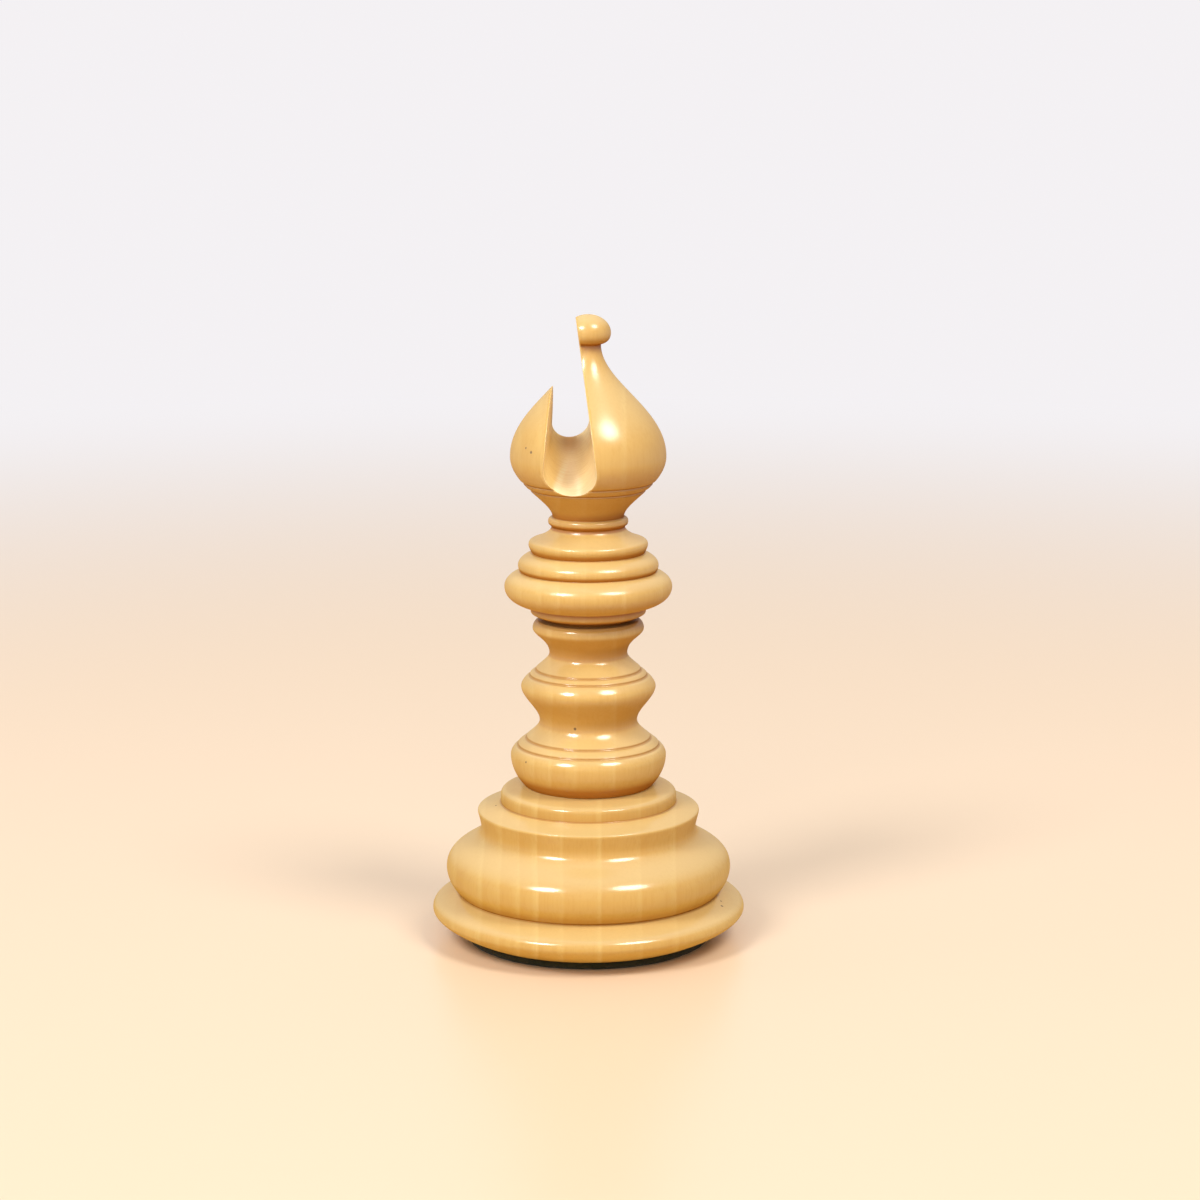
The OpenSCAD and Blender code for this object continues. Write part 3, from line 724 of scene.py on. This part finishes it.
def boxwood(name, shift, tone, contrast, lacquer, gloss, under, nook):
    """Lacquered turned boxwood, paler on edges rubbed by wear, with paler tops that are partly faded and
    partly painted sheen, and brown and dark undersides, creases and recesses that are partly patina and dirt
    and partly painted shade.

    The lacquer and gloss are the coat's weight and roughness, and under and nook are shares of brown, partly
    painted shade, on undersides and in recesses.
    """
    shade = Shading(bpy.data.materials.new("boxwood_" + name))
    colour, fibres, mottle = grain(shade, shift, tone, contrast)
    where = shade.place()
    nearest = None
    for k, pin in enumerate(PIN_MARKS[name]):
        far = shade.math("MULTIPLY", shade.vector("DISTANCE", where, pin), 1.0 + 0.35 * (k % 2))
        nearest = far if nearest is None else shade.math("MINIMUM", nearest, far)
    tilt, recess = shade.mark("tilt"), shade.mark("recess")
    shaded = shade.math("MULTIPLY", recess, shade.ease(tilt, 0.3, 0.9, 1.0, 0.25))
    closed = shade.math("MULTIPLY_ADD", tilt, -0.6, recess)
    crease, edge = shade.ease(shade.mark("crease"), 0.3, 1.0), shade.ease(shade.mark("edge"), 0.35, 1.0)
    line = shade.math("MULTIPLY", crease, shade.ease(closed, 0.35, 0.75, 0.52, 0.9))
    open_edge = shade.math("MULTIPLY", edge, shade.ease(recess, 0.05, 0.2, 0.3, 0))
    # Open up-facing faces turn paler: partly faded by wear, partly a painted sheen of the bright surroundings
    faded_top_and_sheen = shade.math("MULTIPLY", shade.ease(tilt, 0.35, 0.95), shade.ease(recess, 0.1, 0.35, 0.5, 0.35))
    colour = shade.mix(open_edge, colour, PALE)
    colour = shade.mix(faded_top_and_sheen, colour, FADED_AND_SHEEN)
    # Undersides turn brown by the share under and recesses by the share nook: partly patina, partly painted
    # shade where less light reaches
    colour = shade.mix(shade.ease(tilt, 0.1, -0.8, 0, under), colour, PATINA_AND_SHADE)
    colour = shade.mix(shade.ease(shaded, 0.18, 0.37, 0, nook), colour, PATINA_AND_SHADE)
    # Creases and grooves get a brown line, partly a dark joint and partly painted shade, stronger where they
    # are closed in and face down
    colour = shade.mix(line, colour, CREASE_STAIN_AND_SHADE)
    # The deepest recesses and the joint gap go nearly black: partly dirt, partly painted shadow
    colour = shade.mix(shade.ease(recess, 0.85, 0.94, 0, 0.7), colour, DIRT_AND_SHADOW)
    colour = shade.mix(shade.ease(nearest, 0.10, 0.24, 0.85, 0), colour, SPECK)
    lathe = shade.noise(shade.place(scale=(0.08, 0.08, 6.0)), 1.0, 2.0)
    height = shade.math("ADD", shade.math("MULTIPLY", fibres, 0.6), shade.math("MULTIPLY", lathe, 0.4))
    shade.set(Base_Color=colour, Roughness=shade.ease(mottle, 0.3, 0.7, 0.36, 0.46),
              Coat_Weight=shade.ease(closed, 0.12, 0.6, lacquer, 0.04), Coat_IOR=3.0, Coat_Roughness=gloss,
              Specular_IOR_Level=0.0, Normal=shade.bump(height, 0.06, 0.00004))
    return shade.owner


def cut_wood(shift, tone, contrast):
    """Bare wood of the slot, golden on the left and pale on the right, with strokes of the tool, a painted
    highlight streak at the front, and a browner back that is partly stain and partly painted shade.
    """
    shade = Shading(bpy.data.materials.new("boxwood_cut"))
    colour, fibres, _ = grain(shade, shift, tone, contrast)
    split = shade.node("ShaderNodeSeparateXYZ", {"Vector": shade.place(shift=(SLOT_OFFSET, 0, 0))})
    across, along = split.outputs["X"], split.outputs["Y"]
    strokes = shade.noise(shade.place((-SLOT_FALL, 0, 0), (0.25, 7.0, 0.25)), 1.0, 3.0, 0.6)
    bare = shade.mix(shade.ease(across, -2.2, -0.5), CUT_GOLD, CUT_PALE)
    colour = shade.mix(shade.ease(fibres, 0.3, 0.7, 0.97, 0.82), colour, bare)
    # Towards the back the middle of the slot's floor turns brown: partly stain, partly painted shade
    middle = shade.ease(shade.math("ABSOLUTE", shade.math("ADD", across, 0.2)), 0.3, 2.4, 1, 0)
    stain_and_shade = shade.math("MULTIPLY", middle, shade.ease(along, 2.5, 8.0, 0, 0.75))
    colour = shade.mix(stain_and_shade, colour, PATINA_AND_SHADE)
    colour = shade.mix(shade.ease(strokes, 0.40, 0.66, 0, 0.28), colour, DEEP)
    # A pale streak down the left of the floor at the front is a painted highlight of the right lamp
    streak = shade.math("MULTIPLY_ADD", along, -0.13, shade.math("ADD", across, 0.82))
    beside = shade.math("ABSOLUTE", streak)
    painted_highlight = shade.math("MULTIPLY", shade.ease(beside, 0.1, 0.6, 0.9, 0), shade.ease(along, -1.5, 3.5, 1, 0))
    colour = shade.mix(shade.math("MULTIPLY", painted_highlight, shade.ease(strokes, 0.35, 0.6, 1, 0.4)), colour, CUT_HIGHLIGHT)
    normal = shade.node("ShaderNodeNewGeometry").outputs["Normal"]
    shade.set(Base_Color=colour, Roughness=shade.ease(strokes, 0.3, 0.7, 0.36, 0.46), IOR=2.1,
              Specular_IOR_Level=shade.ease(along, -1, 6, 0.5, 0.1),
              Anisotropic=1.0, Tangent=shade.vector("CROSS_PRODUCT", normal, (1, 0, 0)),
              Normal=shade.bump(strokes, 0.5, 0.00005))
    return shade.owner


def cloth():
    """Dark green wool cloth with a felted nap."""
    shade = Shading(bpy.data.materials.new("baize"))
    where = shade.place()
    nap = shade.noise(where, 3.2, 5.0, 0.7)
    tuft = shade.noise(where, 0.5, 2.0)
    colour = shade.mix(nap, (0.012, 0.013, 0.004), (0.052, 0.046, 0.017))
    colour = shade.mix(shade.ease(tuft, 0.35, 0.7, 0, 0.5), colour, (0.018, 0.021, 0.006))
    shade.set(Base_Color=colour, Roughness=0.95, Sheen_Weight=0.1, Sheen_Roughness=0.6,
              Specular_IOR_Level=0.2, Normal=shade.bump(nap, 0.8, 0.0003))
    return shade.owner


def cast_iron():
    """Rough grey iron of the hidden slug."""
    shade = Shading(bpy.data.materials.new("cast_iron"))
    grit = shade.noise(shade.place(), 1.6, 4.0, 0.6)
    shade.set(Base_Color=shade.mix(grit, (0.05, 0.048, 0.046), (0.17, 0.16, 0.155)), Metallic=1.0,
              Roughness=shade.ease(grit, 0.3, 0.7, 0.45, 0.7), Normal=shade.bump(grit, 0.4, 0.0002))
    return shade.owner


def felt_disc(material):
    """The cloth under the foot, cut by hand, with a soft edge."""
    build, rings = Build(), []
    for k, (share, rise) in enumerate(FELT_RIM):
        ring = []
        for c in range(FELT_COLUMNS):
            a = 2 * math.pi * c / FELT_COLUMNS
            waves = (size * math.sin(n * a + start + shift * k) for size, n, start, shift in FELT_WAVES)
            r = FELT_R * share + (sum(waves) - FELT_TRIM) * (share > FELT_TRIM_FROM)
            ring.append((r * math.cos(a), r * math.sin(a), FELT_H * rise))
        if share:
            rings.append([build.vert(p) for p in ring])
        else:
            rings.append([build.vert((0, 0, FELT_H * rise))] * FELT_COLUMNS)
    for low, high in zip(rings, rings[1:]):
        join(build, low, high)
    return build.object("felt_disc", [material])


# The pieces that show, in place of their CAD solids
HEAD_GRAIN = {"shift": 2.6, "tone": (0.97, 0.94, 0.81), "contrast": 0.5}
# Each piece has its own tone, and the base's darker tone also paints shade, for less light low on the piece
woods = {
    "base": boxwood("base", shift=0.0, tone=(0.87, 0.81, 0.65), contrast=0.9,
                    lacquer=0.28, gloss=0.18, under=0.0, nook=0.3),
    "stem": boxwood("stem", shift=1.6, tone=(0.94, 0.91, 0.83), contrast=0.5,
                    lacquer=0.28, gloss=0.18, under=0.34, nook=0.95),
    "head": boxwood("head", **HEAD_GRAIN, lacquer=0.35, gloss=0.26, under=0.36, nook=0.95),
}
turnings = base_rows(), stem_rows(), head_rows()
age(turnings)
base = turned(turnings[0])[0].object("base_turned", [woods["base"]])
stem = turned(turnings[1])[0].object("stem_turned", [woods["stem"]])
head = slotted_head(turnings[2], [woods["head"], cut_wood(**HEAD_GRAIN)])
felt = felt_disc(cloth())
for piece, name, slot in (
    (base, "base", "boxwood"),
    (stem, "stem", "boxwood"),
    (head, "head", "boxwood"),
    (felt, "felt_pad", "baize"),
):
    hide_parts(name)
    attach(piece, "root")

# The hidden pieces keep their CAD solids
for name, material in (("weight", cast_iron()), ("weight_plug", woods["base"])):
    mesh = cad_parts[name].data
    mesh.materials.clear()
    mesh.materials.append(material)

# Floor, pale for the eye far from the piece. The light that it throws back is warm, and dimmer on the
# right, as from the dark squares of the photo's board. The fades are in millimetres, its half width in metres
BACKGROUND = (0.905, 0.88, 0.90)
FLOOR_COLOUR, NEAR_BOUNCE = (0.84, 0.64, 0.45), (0.88, 0.72, 0.51)
LEFT_BOUNCE, RIGHT_BOUNCE = (0.66, 0.46, 0.30), (0.36, 0.17, 0.10)
FLOOR_FADE, NEAR_FADE, SIDE_FADE, FLOOR_HALF = (140, 560), (25, 90), (-60, 60), 6


def seen(shade):
    """1 for what the camera sees, straight or in a gloss, and 0 for light on its way."""
    path = shade.node("ShaderNodeLightPath")
    both = shade.math("MAXIMUM", path.outputs["Is Camera Ray"], path.outputs["Is Glossy Ray"])
    return shade.math("MAXIMUM", both, path.outputs["Is Transmission Ray"])


def floor_material():
    """Satin floor that fades into the background for the eye, and keeps the piece's shadow."""
    shade = Shading(bpy.data.materials.new("floor"))
    eye, where = seen(shade), shade.place()
    away = shade.vector("LENGTH", where)
    far = shade.ease(away, *FLOOR_FADE)
    aside = shade.node("ShaderNodeSeparateXYZ", {"Vector": where}).outputs["X"]
    bounce = shade.mix(shade.ease(aside, *SIDE_FADE), LEFT_BOUNCE, RIGHT_BOUNCE)
    bounce = shade.mix(shade.ease(away, *NEAR_FADE), NEAR_BOUNCE, bounce)
    shade.set(Base_Color=shade.mix(eye, bounce, FLOOR_COLOUR), Roughness=0.32, Specular_IOR_Level=0.35)
    glow = shade.node("ShaderNodeEmission", {"Color": (*BACKGROUND, 1)})
    share = shade.math("MULTIPLY", eye, far)
    both = shade.node("ShaderNodeMixShader", {0: share, 1: shade.shader.outputs[0], 2: glow.outputs[0]})
    shade.feed(shade.tree.nodes["Material Output"].inputs["Surface"], both.outputs[0])
    return shade.owner


floor_mesh = bpy.data.meshes.new("floor")
floor_corners = [(x * FLOOR_HALF, y * FLOOR_HALF, 0) for x, y in ((-1, -1), (1, -1), (1, 1), (-1, 1))]
floor_mesh.from_pydata(floor_corners, [], [(0, 1, 2, 3)])
floor = bpy.data.objects.new("floor", floor_mesh)
bpy.context.scene.collection.objects.link(floor)
floor_mesh.materials.append(floor_material())


LIGHT_AIM = Vector((0, 0, 0.04))


def softbox(name, azimuth, elevation, distance, size, watts, colour=(1, 1, 1)):
    """Round soft lamp, aimed at the middle of the piece. Angles are from the front and from level."""
    lamp = bpy.data.lights.new(name, "AREA")
    lamp.shape = "DISK"
    lamp.size, lamp.energy, lamp.color = size, watts, colour
    o = bpy.data.objects.new(name, lamp)
    a, e = math.radians(azimuth), math.radians(elevation)
    way = Vector((math.sin(a) * math.cos(e), -math.cos(a) * math.cos(e), math.sin(e)))
    o.location = LIGHT_AIM + way * distance
    o.rotation_euler = way.to_track_quat("Z", "Y").to_euler()
    bpy.context.scene.collection.objects.link(o)
    return o


softbox("left_box", azimuth=-43, elevation=45, distance=1.0, size=0.32, watts=5.3)
softbox("right_box", azimuth=48, elevation=54, distance=1.0, size=0.38, watts=5.0, colour=(1, 0.96, 0.89))
fill_box = softbox("front_fill", azimuth=-8, elevation=26, distance=1.6, size=1.2, watts=8.9)
card = softbox("left_card", azimuth=-95, elevation=12, distance=1.4, size=1.0, watts=1.8,
               colour=(0.85, 0.95, 1))
fill_box.visible_glossy = card.visible_glossy = False

# World, bright overhead and at the backdrop, dim elsewhere, and the background's colour for the eye
world = bpy.data.worlds.new("studio")
bpy.context.scene.world = world
shade = Shading(world)
way = shade.node("ShaderNodeTexCoord").outputs["Generated"]
split = shade.node("ShaderNodeSeparateXYZ", {"Vector": way})
overhead = shade.ease(split.outputs["Z"], 0.1, 0.9, 0.05, 0.44)
backdrop = shade.ease(split.outputs["Y"], 0.1, 0.8, 0, 0.4)
dome = shade.tree.nodes["Background"]
shade.feed(dome.inputs["Color"], (1, 0.985, 0.96, 1))
shade.feed(dome.inputs["Strength"], shade.math("ADD", overhead, backdrop))
plain = shade.node("ShaderNodeBackground", {"Color": (*BACKGROUND, 1)})
both = shade.node("ShaderNodeMixShader", {0: seen(shade), 1: dome.outputs[0], 2: plain.outputs[0]})
shade.feed(shade.tree.nodes["World Output"].inputs["Surface"], both.outputs[0])
bpy.context.scene.view_settings.view_transform = "Standard"
